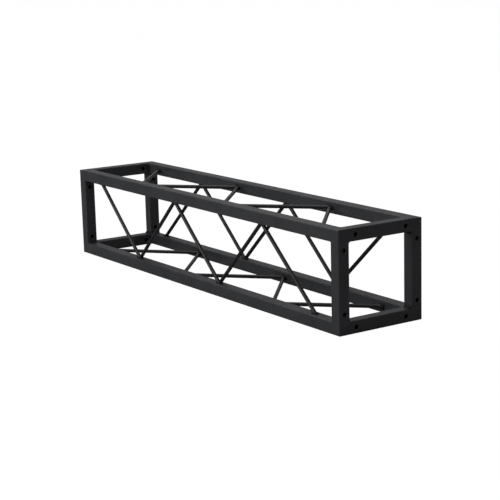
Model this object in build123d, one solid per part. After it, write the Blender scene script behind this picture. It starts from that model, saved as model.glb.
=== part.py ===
from build123d import *
import os

# Lighting truss section: a one metre box truss, square in section, welded from square steel tube
# and round bar, with a drilled frame at each end that bolts to the next section.
# Millimetres. X runs along the truss, Y from front to back and Z up.
# The origin is at the centre of the underside.

# Driving dimensions
LENGTH = 1000.0  # over the outer faces of the two end frames
SIDE = 200.0  # width and height over the tubes
TUBE = 25.0  # side of the square tube
WALL = 1.5  # wall of the tube
TUBE_RADIUS = 2.5  # outside radius of the tube's corners, and of the ground corners of a frame
BAR = 8.0  # diameter of the round bar braces
HOLE = 9.0  # connection holes, clearance for M8
HOLE_SPREAD = 120.0  # between the two holes of one rail or post
HOLE_CHAMFER = 0.4  # deburred rim of a hole on the outer faces of the tube
MEETING_DEPTH = 1.0  # how far inside a chord's face the centrelines of two bars meet
FILLET_LEG = 5.0  # fillet welds in the corners between tubes
BEAD_LEG = 3.0  # how far the bead round a brace foot spreads on the chord
BEAD_HEIGHT = 3.0  # how far that bead climbs up the bars
BEAD_CROWN = 1.0  # how far the bead's upper rim stands off the bars
CUT_MARGIN = 20.0  # how far a cutting tool runs past the work

# Where the braces meet the chords on each face, from the left end to the right.
# The bars were set by hand before welding, so the spacing is a little uneven.
STATIONS = {
    "top": (-427, -258, -87, 80, 246, 418),
    "front": (-413, -248, -89, 79, 238, 411),
    "bottom": (-430, -256, -85, 80, 253, 411),
    "back": (-426, -255, -84, 81, 251, 423),
}

# Each side of the truss is the top side turned about the long axis by this many degrees.
SIDE_TURNS = {"top": 0, "front": 90, "bottom": 180, "back": -90}

# Each chord is the one at the top back turned in the same way.
CHORD_TURNS = {"top_back": 0, "top_front": 90, "bottom_front": 180, "bottom_back": -90}

# An end frame has a rail at the top and bottom and a post at the front and back.
MEMBER_KIND = {"top": "rail", "front": "post", "bottom": "rail", "back": "post"}

# Each end frame, and the direction that it faces along X.
ENDS = {"left": -1, "right": 1}

# Sizes that follow
HALF = SIDE / 2
INNER = HALF - TUBE  # from the long axis to the inner face of a tube
CHORD_LENGTH = LENGTH - 2 * TUBE
JOINT_X = CHORD_LENGTH / 2  # where a chord butts against an end frame
FRAME_X = (LENGTH - TUBE) / 2  # middle of an end frame
FOOT_LENGTH = 1.5 * BAR  # a bar's slanted footprint on the chord


def turned(shape, degrees):
    """The shape, made about the origin, turned about X and lifted on to the truss's long axis."""
    return Pos(0, 0, HALF) * Rot(degrees, 0, 0) * shape


def square_tube(length):
    """A length of square tube along X, centred on the origin."""
    bore = TUBE - 2 * WALL
    section = RectangleRounded(TUBE, TUBE, TUBE_RADIUS)
    section -= RectangleRounded(bore, bore, TUBE_RADIUS - WALL)
    return extrude(Plane.YZ * section, length / 2, both=True)


def chord():
    """The chord along the top back edge."""
    return Pos(0, HALF - TUBE / 2, HALF - TUBE / 2) * square_tube(CHORD_LENGTH)


def drill():
    """What is cut away for one hole through both walls of a tube, along Z, with its deburred rims."""
    cut = Cylinder(HOLE / 2, TUBE + CUT_MARGIN)
    rim = Cone(HOLE / 2, HOLE / 2 + HOLE_CHAMFER, HOLE_CHAMFER, align=(Align.CENTER, Align.CENTER, Align.MAX))
    for flip in (0, 180):
        cut += Rot(flip, 0, 0) * Pos(0, 0, TUBE / 2) * rim
    return cut


def frame_member():
    """The top rail of an end frame: mitred at both ends, ground round at its outer corners, drilled."""
    rail = Pos(0, 0, HALF - TUBE / 2) * Rot(0, 0, 90) * square_tube(SIDE)
    mitre = Polygon((-HALF, HALF), (-INNER, INNER), (INNER, INNER), (HALF, HALF), align=None)
    rail &= extrude(Plane.YZ * mitre, TUBE, both=True)
    rail &= extrude(Plane.YZ * RectangleRounded(SIDE, SIDE, TUBE_RADIUS), TUBE, both=True)
    for y in (-HOLE_SPREAD / 2, HOLE_SPREAD / 2):
        rail -= Pos(0, y, HALF - TUBE / 2) * Rot(0, 90, 0) * drill()
    return rail


def meeting_points(stations):
    """The points, one to a station, where the centrelines of the top side's zigzag meet."""
    reach = INNER + MEETING_DEPTH
    return [Vector(x, -reach if index % 2 else reach, HALF - TUBE / 2) for index, x in enumerate(stations)]


def full_bar(start, end):
    """A round bar through both points, running past them."""
    along = (end - start).normalized()
    length = (end - start).length + 2 * CUT_MARGIN
    return Plane(origin=(start + end) / 2, x_dir=(0, 0, 1), z_dir=along) * Cylinder(BAR / 2, length)


def braces(stations):
    """The bars of one zigzag on the top side, cut to the chords' faces and mitred to each other."""
    points = meeting_points(stations)
    bars = []
    for index, (start, end) in enumerate(zip(points, points[1:])):
        low = start.X - (CUT_MARGIN if index == 0 else 0)
        high = end.X + (CUT_MARGIN if index == len(points) - 2 else 0)
        room = Pos((low + high) / 2, 0, start.Z) * Box(high - low, 2 * INNER, TUBE)
        bars.append(full_bar(start, end) & room)
    return bars


def foot_bead(foot_length):
    """The collar of weld round a foot, standing on the XY plane and longest along X."""
    base = SlotOverall(foot_length + 2 * BEAD_LEG, BAR + 2 * BEAD_LEG)
    crown = SlotOverall(foot_length + 2 * BEAD_CROWN, BAR + 2 * BEAD_CROWN)
    return loft([base, Pos(0, 0, BEAD_HEIGHT) * crown])


def brace_welds(stations):
    """The beads at the feet of one zigzag on the top side, each fitted round its one or two bars."""
    points = meeting_points(stations)
    beads = []
    for index, point in enumerate(points):
        inward = Vector(0, -1 if point.Y > 0 else 1, 0)
        neighbours = points[max(index - 1, 0) : index] + points[index + 1 : index + 2]
        share = MEETING_DEPTH / (2 * (INNER + MEETING_DEPTH))
        feet = [point.X + (neighbour.X - point.X) * share for neighbour in neighbours]
        middle = (sum(feet) / len(feet), -INNER * inward.Y, point.Z)
        on_chord = Plane(origin=middle, x_dir=(1, 0, 0), z_dir=inward)
        bead = on_chord * foot_bead(max(feet) - min(feet) + FOOT_LENGTH)
        for neighbour in neighbours:
            bead -= full_bar(point, neighbour)
        beads.append(bead)
    return beads


def fillet_weld(length):
    """A fillet weld along X, its corner on the X axis and its legs along -Y and -Z."""
    section = Polygon((0, 0), (-FILLET_LEG, 0), (0, -FILLET_LEG), align=None)
    return extrude(Plane.YZ * section, length / 2, both=True)


def frame_weld():
    """The fillet in an end frame's inner corner at the top back, on the flats of the two tubes."""
    return Pos(0, INNER, INNER) * fillet_weld(TUBE - 2 * TUBE_RADIUS)


def flush_weld():
    """The ground weld that fills the groove round the outside of the top back chord's right end."""
    strip = Box(TUBE_RADIUS, TUBE, TUBE_RADIUS, align=(Align.MIN, Align.CENTER, Align.MAX))
    strip -= Pos(TUBE_RADIUS, 0, -TUBE_RADIUS) * Rot(90, 0, 0) * Cylinder(TUBE_RADIUS, 2 * TUBE)
    on_rail = Pos(0, -TUBE / 2, 0) * strip
    on_post = Pos(0, 0, -TUBE / 2) * Rot(-90, 0, 0) * strip
    fill = Pos(JOINT_X, HALF, HALF) * (on_rail + on_post)
    return fill & extrude(Plane.YZ * RectangleRounded(SIDE, SIDE, TUBE_RADIUS), LENGTH, both=True)


def chord_end_fillets():
    """The two fillets in the inner corners at the right end of the top back chord."""
    fillet = fillet_weld(TUBE - 2 * TUBE_RADIUS)
    under_chord = Pos(JOINT_X, HALF - TUBE / 2, INNER) * Rot(0, 0, -90) * fillet
    beside_chord = Pos(JOINT_X, INNER, HALF - TUBE / 2) * Rot(0, 90, 0) * fillet
    return [under_chord, beside_chord]


def write_node(name, *pieces):
    """Writes one named node, holding one solid or a group of separate ones."""
    solids = [solid for piece in pieces for solid in piece.solids()]
    node = Compound(children=solids) if len(solids) > 1 else solids[0]
    node.label = name
    export_step(node, f"parts/{name}.step")


def write_chords():
    for place, degrees in CHORD_TURNS.items():
        write_node(f"chord_{place}", turned(chord(), degrees))


def write_end_frames():
    for end, direction in ENDS.items():
        at_end = Pos(direction * FRAME_X, 0, 0)
        for side, degrees in SIDE_TURNS.items():
            write_node(f"{end}_frame_{side}_{MEMBER_KIND[side]}", at_end * turned(frame_member(), degrees))
        write_node(f"{end}_frame_welds", *[at_end * turned(frame_weld(), d) for d in CHORD_TURNS.values()])


def write_chord_welds():
    for end, direction in ENDS.items():
        facing = Rot(0, 0, 0 if direction > 0 else 180)
        fillets = [turned(weld, d) for weld in chord_end_fillets() for d in CHORD_TURNS.values()]
        write_node(f"{end}_chord_welds", *[facing * weld for weld in fillets])
        write_node(f"{end}_flush_welds", *[facing * turned(flush_weld(), d) for d in CHORD_TURNS.values()])


def write_braces():
    for side, stations in STATIONS.items():
        for number, bar in enumerate(braces(stations), start=1):
            write_node(f"brace_{side}_{number}", turned(bar, SIDE_TURNS[side]))
        beads = [turned(bead, SIDE_TURNS[side]) for bead in brace_welds(stations)]
        write_node(f"brace_{side}_welds", *beads)


os.makedirs("parts", exist_ok=True)
write_chords()
write_end_frames()
write_chord_welds()
write_braces()
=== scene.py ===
import math
import bmesh
import bpy
from mathutils import Matrix, Vector, noise


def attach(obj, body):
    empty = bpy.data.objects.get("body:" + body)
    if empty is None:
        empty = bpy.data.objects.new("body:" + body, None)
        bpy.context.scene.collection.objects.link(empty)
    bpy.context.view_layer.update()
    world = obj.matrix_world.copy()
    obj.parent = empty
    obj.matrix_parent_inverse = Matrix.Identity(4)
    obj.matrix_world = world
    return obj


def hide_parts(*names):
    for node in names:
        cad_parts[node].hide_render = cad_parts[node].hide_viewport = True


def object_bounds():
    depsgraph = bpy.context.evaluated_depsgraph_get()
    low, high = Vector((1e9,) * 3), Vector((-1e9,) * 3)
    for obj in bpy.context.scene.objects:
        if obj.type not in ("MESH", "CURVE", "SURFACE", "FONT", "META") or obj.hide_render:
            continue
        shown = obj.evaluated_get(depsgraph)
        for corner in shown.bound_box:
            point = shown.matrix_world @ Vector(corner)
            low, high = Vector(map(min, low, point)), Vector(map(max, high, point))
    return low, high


# The looks of a box truss section: its powder coat, its weld beads, and the studio that it is seen in.
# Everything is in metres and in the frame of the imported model: X along the truss, Y from front to
# back, Z up, with the origin at the centre of the underside.

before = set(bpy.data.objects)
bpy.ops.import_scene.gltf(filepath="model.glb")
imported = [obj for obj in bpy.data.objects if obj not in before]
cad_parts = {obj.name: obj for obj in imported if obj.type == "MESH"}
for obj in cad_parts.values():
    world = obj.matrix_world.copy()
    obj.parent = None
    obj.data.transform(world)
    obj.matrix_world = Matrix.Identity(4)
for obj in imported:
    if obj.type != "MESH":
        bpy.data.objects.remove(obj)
cad_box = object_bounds()

MM = 0.001
COS_45 = math.sqrt(0.5)
BODY = "root"
MIDDLE = (cad_box[0] + cad_box[1]) / 2
HALF = (cad_box[1] - cad_box[0]) / 2
TUBE = 25 * MM  # side of the square tube

# Powder coat: its darkest and lightest tones, the one on its corners, rubbed coat and painted
# highlight, and the painted shade inside the tubes
COAT_DARK = (0.0145, 0.0151, 0.0172)
COAT_LIGHT = (0.0236, 0.0245, 0.028)
COAT_RUBBED_HIGHLIT = (0.049, 0.0495, 0.053)
BORE_PAINTED_SHADE = (0.006, 0.006, 0.0065)  # painted shade inside the tubes and their holes
CORNER_BAND = (0.7 * MM, 1.7 * MM)  # how near two faces at once is on a rounded corner
BORE_SHADE_DEPTH = (0.7 * MM, 1.3 * MM)  # how far in from the faces the bore's painted shade and roughness begin
BORE_ROUGHNESS = 0.9
RUBBED_HIGHLIT_SHARE = 0.55  # how far the most rubbed corners go towards that lighter colour, worn coat and painted highlight
RUBBED_GLOSS = 0.12  # how much smoother they are
SEAM_BAND = (0.4 * MM, 1.8 * MM)  # half the width of a dressed weld seam
SEAM_RIDGE = 0.12 * MM  # how far it stands proud

# Noise in the coat: the size of its features, its detail, and in some its roughness
CLOUDS = (70 * MM, 4.0, 0.6)
SPECKLE = (0.9 * MM, 2.0)
GLOSS_PATCHES = (25 * MM, 3.0)
ORANGE_PEEL = (1.6 * MM, 1.0)
GRAIN = (0.35 * MM, 2.0)
RUBBED_HIGHLIT_PATCHES = (9 * MM, 3.0, 0.65)
SEAM_LUMPS = (2.5 * MM, 2.0)

# The part of each noise's range over which it takes effect, and how strongly it does
CLOUD_RANGE = (0.3, 0.7)
SPECKLE_RANGE = (0.35, 0.75)
SPECKLE_SHARE = 0.35
GLOSS_RANGE = (0.25, 0.75)
GLOSS_SPREAD = 0.05  # either side of the coat's roughness
GRAIN_SHARE = 0.15  # how deep the grain is, as a share of the orange peel
RUBBED_HIGHLIT_RANGE = (0.45, 0.75)

# How light, rough, glossy and uneven the coat is on each kind of piece; the one coat is darkened on
# the bars and weld beads as painted shade
LOOKS = {
    "tube": {"shade": 1.0, "roughness": 0.5, "gloss": 0.4, "peel": 0.06 * MM},
    # painted shade: the bars and weld beads take the tubes' coat darkened
    "bar": {"shade": 0.3, "roughness": 0.4, "gloss": 0.3, "peel": 0.03 * MM},
    "weld": {"shade": 0.3, "roughness": 0.55, "gloss": 0.12, "peel": 0.04 * MM},
}

# Weld beads round the feet of the bars
BEAD_STEPS = 168  # points round a bead
RISE_STEPS = 9  # from a bead's toe to its crown
BEAD_MIDDLE = (1.3, 1.6, 2.0)  # rings on its flat middle, in spreads from its toe
BEAD_SINK = 0.3 * MM  # how far its underside lies inside the tube's wall
BEAD_SPREAD = 2.5 * MM  # from its toe to its crown
BEAD_FULLNESS = 0.86  # its usual height, as a share of the CAD bead's
BEAD_UNEVEN = 0.1  # how much that share varies
BEAD_STEEPNESS = 0.8  # below 1, its side rises steeply at the toe
BEAD_WOBBLE = 0.4 * MM  # how far its toe wanders
RIPPLE_PITCH = 1.7 * MM
RIPPLE_HEIGHT = 0.28 * MM
RIPPLE_FADE = 0.75  # the ripples die out 1 / RIPPLE_FADE spreads in from the toe
CHEVRON = 0.9  # how far the ripples trail at the edges of a bead, in ripples
NOISE_SIZE = 3.5 * MM  # size of the beads' unevenness

# Fillet beads in the corners between tubes
FILLET_BULGE = 0.5 * MM
FILLET_TAPER = 2.5 * MM  # how long a fillet takes to run out at its ends
FILLET_TIP = 0.02  # how much of its section's area is left there
FILLET_WOBBLE = 0.4 * BEAD_WOBBLE  # how uneven its face is
FILLET_STEPS = 10  # points across its face
STEPS_PER_RIPPLE = 8

SAME_POINT = 0.001 * MM

# Studio lights: azimuth, elevation, distance, width, height and watts. Azimuth 0 is in front of the
# truss, 90 at its right end and 180 behind it.
LIGHTS = {
    "overhead": (-90, 72, 2.4, 2.2, 2.2, 37),
    "front": (-20, 28, 3.0, 2.0, 1.6, 55),
    "right": (60, 40, 3.0, 2.0, 1.6, 27),
    "behind": (236, 20, 3.2, 3.0, 1.2, 5.5),
    "back": (178, 4, 3.0, 2.0, 1.0, 20),
}
SURROUNDINGS = 0.055  # brightness of the surroundings that light the truss; the camera sees 1
FLOOR_SIZE = 60
FLOOR_GLOW = 0.995  # the floor that the camera sees glows nearly white
FLOOR_SHADE = 0.02  # and takes a faint shadow
FLOOR_DULL = 0.3  # how light the floor is that the truss is lit from

# Camera, with its azimuth and elevation as for the lights, in degrees
SENSOR_MM = 36.0
LENS_MM = 102.97
VIEW_SHIFT = Vector((0.0258, 0.0271, -0.0293))  # from the middle of the truss to where it looks
VIEW_AZIMUTH = 55.885
VIEW_ELEVATION = 11.883
VIEW_ROLL = -1.491
VIEW_DISTANCE = 3.0701


# ---- Materials ----


class Shader:
    """A material's node tree, with short ways to add to it."""

    def __init__(self, name):
        self.material = bpy.data.materials.new(name)
        self.material.use_nodes = True
        self.tree = self.material.node_tree
        self.surface = self.tree.nodes["Principled BSDF"]
        self.place = self.add("ShaderNodeTexCoord").outputs["Object"]

    def add(self, kind, **settings):
        node = self.tree.nodes.new(kind)
        for name, value in settings.items():
            setattr(node, name, value)
        return node

    def put(self, value, socket):
        """Gives a socket a number, a colour or another node's output."""
        if isinstance(value, bpy.types.NodeSocket):
            self.tree.links.new(value, socket)
        else:
            socket.default_value = value

    def math(self, operation, *values):
        node = self.add("ShaderNodeMath", operation=operation)
        for value, socket in zip(values, node.inputs):
            self.put(value, socket)
        return node.outputs["Value"]

    def mix(self, share, first, second):
        node = self.add("ShaderNodeMix", data_type="RGBA")
        self.put(share, node.inputs["Factor"])
        self.put(first, node.inputs["A"])
        self.put(second, node.inputs["B"])
        return node.outputs["Result"]

    def ramp(self, value, low, high, to_low=0.0, to_high=1.0):
        """The value, taken smoothly from one range to another."""
        node = self.add("ShaderNodeMapRange", interpolation_type="SMOOTHSTEP")
        for number, socket in zip((value, low, high, to_low, to_high), node.inputs):
            self.put(number, socket)
        return node.outputs["Result"]

    def noise(self, size, detail=2.0, roughness=0.5):
        """Cloudy noise from 0 to 1, with features of that size in metres."""
        node = self.add("ShaderNodeTexNoise")
        self.put(self.place, node.inputs["Vector"])
        self.put(1.0 / size, node.inputs["Scale"])
        self.put(detail, node.inputs["Detail"])
        self.put(roughness, node.inputs["Roughness"])
        return node.outputs["Fac"]

    def bump(self, height, depth, under=None):
        """Raises the surface by height times depth, on top of an earlier bump."""
        node = self.add("ShaderNodeBump")
        self.put(height, node.inputs["Height"])
        self.put(depth, node.inputs["Distance"])
        self.put(1.0, node.inputs["Strength"])
        if under is not None:
            self.put(under, node.inputs["Normal"])
        return node.outputs["Normal"]

    def finish(self, colour, rough, skin, gloss):
        """Joins what was made to the surface, and gives back the material."""
        self.put(colour, self.surface.inputs["Base Color"])
        self.put(rough, self.surface.inputs["Roughness"])
        self.put(skin, self.surface.inputs["Normal"])
        self.put(gloss, self.surface.inputs["Specular IOR Level"])
        return self.material


def shaded(colour, shade):
    """A colour at that share of its brightness, with its alpha."""
    return tuple(shade * part for part in colour) + (1.0,)


def powder_coat(shader, look):
    """Cloudy tone, fine speckle, uneven gloss, orange peel and grain."""
    dark = shaded(COAT_DARK, look["shade"])
    light = shaded(COAT_LIGHT, look["shade"])
    tone = shader.ramp(shader.noise(*CLOUDS), *CLOUD_RANGE)
    colour = shader.mix(tone, dark, light)
    speckle = shader.ramp(shader.noise(*SPECKLE), *SPECKLE_RANGE, 0.0, SPECKLE_SHARE)
    colour = shader.mix(speckle, colour, light)
    smoothest, roughest = look["roughness"] - GLOSS_SPREAD, look["roughness"] + GLOSS_SPREAD
    rough = shader.ramp(shader.noise(*GLOSS_PATCHES), *GLOSS_RANGE, smoothest, roughest)
    skin = shader.bump(shader.noise(*ORANGE_PEEL), look["peel"])
    skin = shader.bump(shader.noise(*GRAIN), GRAIN_SHARE * look["peel"], under=skin)
    return colour, rough, skin


def plain_coat(kind):
    """The material of the bars or the weld beads: the coat darkened as painted shade."""
    shader = Shader(f"coated_{kind}")
    colour, rough, skin = powder_coat(shader, LOOKS[kind])
    return shader.finish(colour, rough, skin, LOOKS[kind]["gloss"])


def from_middle(shader):
    """How far the surface is from the middle of the truss along X, Y and Z."""
    split = shader.add("ShaderNodeSeparateXYZ")
    shader.put(shader.place, split.inputs[0])
    offsets = [shader.math("SUBTRACT", split.outputs[axis], MIDDLE[axis]) for axis in range(3)]
    return [shader.math("ABSOLUTE", offset) for offset in offsets]


def face_distances(shader, offsets):
    """How far the surface is from the nearest plane of the tubes' faces, and from the next."""
    gaps = []
    for axis, offset in enumerate(offsets):
        faces = (HALF[axis], HALF[axis] - TUBE)
        to_faces = [shader.math("ABSOLUTE", shader.math("SUBTRACT", offset, face)) for face in faces]
        gaps.append(shader.math("MINIMUM", *to_faces))
    nearer = shader.math("MINIMUM", gaps[0], gaps[1])
    farther = shader.math("MAXIMUM", gaps[0], gaps[1])
    nearest = shader.math("MINIMUM", nearer, gaps[2])
    return nearest, shader.math("MAXIMUM", nearer, shader.math("MINIMUM", farther, gaps[2]))


def seam_mask(shader, offsets):
    """1 along the dressed seams: the mitres of the end frames and the chords' butt joints."""
    from_joint = shader.math("SUBTRACT", offsets[0], HALF.x - TUBE)
    from_mitre = shader.math("ABSOLUTE", shader.math("SUBTRACT", offsets[1], offsets[2]))
    on_chord = shader.ramp(from_joint, -SEAM_BAND[0], SEAM_BAND[0], TUBE, 0.0)
    from_mitre = shader.math("ADD", shader.math("MULTIPLY", from_mitre, COS_45), on_chord)
    nearest = shader.math("MINIMUM", shader.math("ABSOLUTE", from_joint), from_mitre)
    return shader.ramp(nearest, *SEAM_BAND, 1.0, 0.0)


def tube_coat():
    """The material of the tubes: lighter at their corners as rubbed coat and painted highlight, with
    painted shade and rough coat in their bores, uneven at seams.
    """
    shader = Shader("coated_tube")
    colour, rough, skin = powder_coat(shader, LOOKS["tube"])
    offsets = from_middle(shader)
    nearest, next_nearest = face_distances(shader, offsets)

    # Rubbed coat and painted highlight: the rounded corners are lightened in patches
    corner = shader.ramp(next_nearest, *CORNER_BAND, 1.0, 0.0)
    patches = shader.ramp(shader.noise(*RUBBED_HIGHLIT_PATCHES), *RUBBED_HIGHLIT_RANGE, 0.0, RUBBED_HIGHLIT_SHARE)
    rubbed_highlit = shader.math("MULTIPLY", corner, patches)
    colour = shader.mix(rubbed_highlit, colour, shaded(COAT_RUBBED_HIGHLIT, 1.0))
    rough = shader.math("SUBTRACT", rough, shader.math("MULTIPLY", rubbed_highlit, RUBBED_GLOSS))

    # Painted shade: the bores are darkened, and made rough
    bore_shade = shader.ramp(nearest, *BORE_SHADE_DEPTH)
    colour = shader.mix(bore_shade, colour, shaded(BORE_PAINTED_SHADE, 1.0))
    rough = shader.math("MAXIMUM", rough, shader.math("MULTIPLY", bore_shade, BORE_ROUGHNESS))

    ridge = shader.math("MULTIPLY", seam_mask(shader, offsets), shader.noise(*SEAM_LUMPS))
    skin = shader.bump(ridge, SEAM_RIDGE, under=skin)
    return shader.finish(colour, rough, skin, LOOKS["tube"]["gloss"])


# ---- Weld beads ----


def solid_boxes(node):
    """The lowest and highest corners of each separate solid in a CAD node."""
    mesh = bmesh.new()
    mesh.from_mesh(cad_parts[node].data)
    bmesh.ops.remove_doubles(mesh, verts=mesh.verts, dist=SAME_POINT)
    boxes = []
    unseen = set(mesh.verts)
    while unseen:
        island = [unseen.pop()]
        for vert in island:
            for edge in vert.link_edges:
                other = edge.other_vert(vert)
                if other in unseen:
                    unseen.discard(other)
                    island.append(other)
        spans = [[vert.co[axis] for vert in island] for axis in range(3)]
        boxes.append(([min(span) for span in spans], [max(span) for span in spans]))
    mesh.free()
    return [(Vector(low), Vector(high)) for low, high in sorted(boxes)]


def add_loops(mesh, loops):
    """Joins closed loops of points, one after another, and caps the first and the last."""
    rows = [[mesh.verts.new(point) for point in loop] for loop in loops]
    for row, above in zip(rows, rows[1:]):
        for step in range(len(row)):
            after = (step + 1) % len(row)
            mesh.faces.new((row[step], row[after], above[after], above[step]))
    mesh.faces.new(reversed(rows[0]))
    mesh.faces.new(rows[-1])


def ripple(phase):
    """The height across one ripple of a bead: round on top and sharp between."""
    return abs(math.sin(math.pi * phase))


def slot_outline(share, half_straight, radius):
    """The point that share of the way round a slot, and the direction that faces out of it."""
    half_way = 2 * half_straight + math.pi * radius
    half, way = divmod(share * 2 * half_way, half_way)
    if way < 2 * half_straight:
        out = Vector((0, 1))
        point = Vector((half_straight - way, radius))
    else:
        angle = math.pi / 2 + (way - 2 * half_straight) / radius
        out = Vector((math.cos(angle), math.sin(angle)))
        point = Vector((-half_straight, 0)) + radius * out
    return (-point, -out) if half else (point, out)


def foot_bead(mesh, low, high):
    """The rippled bead round the foot of one or two bars, in the box of its CAD solid."""
    middle = (low + high) / 2
    size = high - low
    across, up = (1, 2) if size.y > size.z else (2, 1)
    inward = -1 if middle[up] > MIDDLE[up] else 1
    height = size[up]
    foot = middle.copy()
    foot[up] -= inward * height / 2
    radius = size[across] / 2 - BEAD_WOBBLE
    half_straight = size.x / 2 - size[across] / 2
    ripples = round((4 * half_straight + 2 * math.pi * radius) / RIPPLE_PITCH)

    def bead_point(share, rise):
        """A point of the bead: rise is 0 at its toe, 1 at its crown and more in its flat middle."""
        edge, out = slot_outline(share, half_straight, radius)
        waver = noise.noise((foot + Vector((edge.x, edge.y, rise * MM))) / NOISE_SIZE)
        slope = min(rise, 1.0)
        full = height * (BEAD_FULLNESS + BEAD_UNEVEN * waver)
        lift = full * math.sin(slope * math.pi / 2) ** BEAD_STEEPNESS
        trail = CHEVRON * (2 * slope - 1) ** 2
        rippled = math.sin(math.pi * min(RIPPLE_FADE * rise, 1.0))  # 0 at the toe and in the middle
        lift += RIPPLE_HEIGHT * ripple(share * ripples + trail) * rippled
        flat = edge - (BEAD_SPREAD * rise - BEAD_WOBBLE * waver) * out
        point = foot.copy()
        point.x += flat.x
        point[across] += flat.y
        point[up] += inward * lift
        return point

    rises = [step / RISE_STEPS for step in range(RISE_STEPS + 1)] + list(BEAD_MIDDLE)
    shares = [step / BEAD_STEPS for step in range(BEAD_STEPS)]
    loops = [[bead_point(share, rise) for share in shares] for rise in rises]
    sunk = [point.copy() for point in loops[0]]
    for point in sunk:
        point[up] -= inward * BEAD_SINK
    add_loops(mesh, [sunk] + loops)


def fillet_bead(mesh, low, high):
    """The rippled bead in the corner between two tubes, in the box of its CAD solid."""
    middle = (low + high) / 2
    size = high - low
    run = max(range(3), key=lambda axis: size[axis])
    sides = [axis for axis in range(3) if axis != run]
    root = middle.copy()
    outward = {}
    for side in sides:
        outward[side] = 1 if middle[side] > MIDDLE[side] else -1
        root[side] += outward[side] * size[side] / 2
    leg = size[sides[0]]
    half_run = size[run] / 2

    def at(along, inward):
        """The point that far along the root, moved off it into the open along each side."""
        point = root.copy()
        point[run] += along
        for side, distance in zip(sides, inward):
            point[side] -= outward[side] * distance
        return point

    def section(along):
        """The closed loop round the bead at one place along it."""
        to_end = half_run - abs(along)
        full = math.sqrt(max(1 - (1 - min(to_end / FILLET_TAPER, 1.0)) ** 2, FILLET_TIP))
        loop = []
        for step in range(FILLET_STEPS + 1):
            turn = step / FILLET_STEPS
            waver = noise.noise((root + Vector((along, turn * leg, along))) / NOISE_SIZE)
            arch = math.sin(math.pi * turn)
            trail = CHEVRON * (2 * turn - 1) ** 2
            lift = FILLET_BULGE * arch + RIPPLE_HEIGHT * arch * ripple(along / RIPPLE_PITCH + trail)
            lift = (lift + FILLET_WOBBLE * waver) * COS_45
            loop.append([full * (leg * (1 - turn) + lift), full * (leg * turn + lift)])
        loop[0][1] = -BEAD_SINK
        loop[-1][0] = -BEAD_SINK
        return [at(along, inward) for inward in loop + [(-BEAD_SINK, -BEAD_SINK)]]

    steps = round(2 * half_run / RIPPLE_PITCH) * STEPS_PER_RIPPLE
    add_loops(mesh, [section(half_run * (2 * step / steps - 1)) for step in range(steps + 1)])


def weld_piece(node, bead, material):
    """One piece of rippled beads that stands for a CAD node of plain ones."""
    mesh = bmesh.new()
    for low, high in solid_boxes(node):
        bead(mesh, low, high)
    bmesh.ops.recalc_face_normals(mesh, faces=mesh.faces)
    data = bpy.data.meshes.new(node)
    mesh.to_mesh(data)
    mesh.free()
    data.shade_smooth()
    data.materials.append(material)
    piece = bpy.data.objects.new(f"{node}_rippled", data)
    bpy.context.scene.collection.objects.link(piece)
    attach(piece, BODY)
    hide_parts(node)


# ---- Studio ----


def point_at(thing, place, target, roll=0.0):
    """Puts a light or camera at a place, facing the target."""
    facing = (target - place).to_track_quat("-Z", "Y").to_matrix().to_4x4()
    thing.matrix_world = Matrix.Translation(place) @ facing @ Matrix.Rotation(roll, 4, "Z")


def around(azimuth, elevation, distance, centre):
    """The place at that distance from a centre, in degrees round it and above it."""
    turn, rise = math.radians(azimuth), math.radians(elevation)
    level = Vector((math.sin(turn), -math.cos(turn), 0)) * math.cos(rise)
    return centre + distance * (level + Vector((0, 0, math.sin(rise))))


def studio_lights():
    """Large soft area lights, all facing the middle of the truss and out of the camera's sight."""
    for name, (azimuth, elevation, distance, width, height, watts) in LIGHTS.items():
        data = bpy.data.lights.new(name, "AREA")
        data.shape = "RECTANGLE"
        data.size = width
        data.size_y = height
        data.energy = watts
        light = bpy.data.objects.new(name, data)
        bpy.context.scene.collection.objects.link(light)
        light.visible_camera = False
        point_at(light, around(azimuth, elevation, distance, MIDDLE), MIDDLE)


def studio_world():
    """White surroundings, which light the truss only faintly."""
    world = bpy.data.worlds.new("studio")
    bpy.context.scene.world = world
    world.use_nodes = True
    nodes, links = world.node_tree.nodes, world.node_tree.links
    light_path = nodes.new("ShaderNodeLightPath")
    mix = nodes.new("ShaderNodeMix")
    mix.inputs["A"].default_value = SURROUNDINGS
    mix.inputs["B"].default_value = 1.0
    links.new(light_path.outputs["Is Camera Ray"], mix.inputs["Factor"])
    links.new(mix.outputs["Result"], nodes["Background"].inputs["Strength"])
    nodes["Background"].inputs["Color"].default_value = (1.0, 1.0, 1.0, 1.0)


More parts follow.
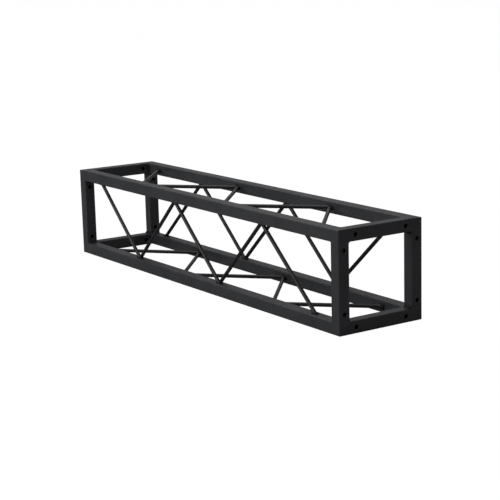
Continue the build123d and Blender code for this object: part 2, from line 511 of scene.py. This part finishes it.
def studio_floor():
    """A plain white floor. It looks brighter than the light that it throws on the truss."""
    bpy.ops.mesh.primitive_plane_add(size=FLOOR_SIZE)
    floor = bpy.context.object
    floor.name = "floor"
    shader = Shader("floor")
    dull, seen = (shader.add("ShaderNodeBsdfDiffuse") for _ in range(2))
    shader.put((FLOOR_DULL, FLOOR_DULL, FLOOR_DULL, 1.0), dull.inputs["Color"])
    shader.put((FLOOR_SHADE, FLOOR_SHADE, FLOOR_SHADE, 1.0), seen.inputs["Color"])
    glow = shader.add("ShaderNodeEmission")
    shader.put(FLOOR_GLOW, glow.inputs["Strength"])
    white = shader.add("ShaderNodeAddShader")
    shader.put(glow.outputs[0], white.inputs[0])
    shader.put(seen.outputs[0], white.inputs[1])
    either = shader.add("ShaderNodeMixShader")
    shader.put(shader.add("ShaderNodeLightPath").outputs["Is Camera Ray"], either.inputs[0])
    shader.put(dull.outputs[0], either.inputs[1])
    shader.put(white.outputs[0], either.inputs[2])
    shader.put(either.outputs[0], shader.tree.nodes["Material Output"].inputs["Surface"])
    floor.data.materials.append(shader.material)


def camera():
    """The photograph's view: from in front and to the right, and from a little above."""
    data = bpy.data.cameras.new("camera")
    data.lens = LENS_MM
    data.sensor_width = SENSOR_MM
    view = bpy.data.objects.new("camera", data)
    bpy.context.scene.collection.objects.link(view)
    target = MIDDLE + VIEW_SHIFT
    place = around(VIEW_AZIMUTH, VIEW_ELEVATION, VIEW_DISTANCE, target)
    point_at(view, place, target, math.radians(VIEW_ROLL))
    bpy.context.scene.camera = view


# ---- The whole ----


def coat_tubes_and_bars():
    """Gives the shown CAD pieces their coats. The flush welds are coated as the tubes are."""
    tube, bar = tube_coat(), plain_coat("bar")
    for name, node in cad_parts.items():
        node.material_slots[0].material = bar if name.startswith("brace_") else tube


def add_welds():
    """Rippled beads for every weld but the flush ones, which are ground flat."""
    weld = plain_coat("weld")
    for name in sorted(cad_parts):
        if name.endswith("_welds") and not name.endswith("_flush_welds"):
            weld_piece(name, foot_bead if name.startswith("brace_") else fillet_bead, weld)


coat_tubes_and_bars()
add_welds()
studio_floor()
studio_world()
studio_lights()
camera()
bpy.context.scene.view_settings.view_transform = "Standard"
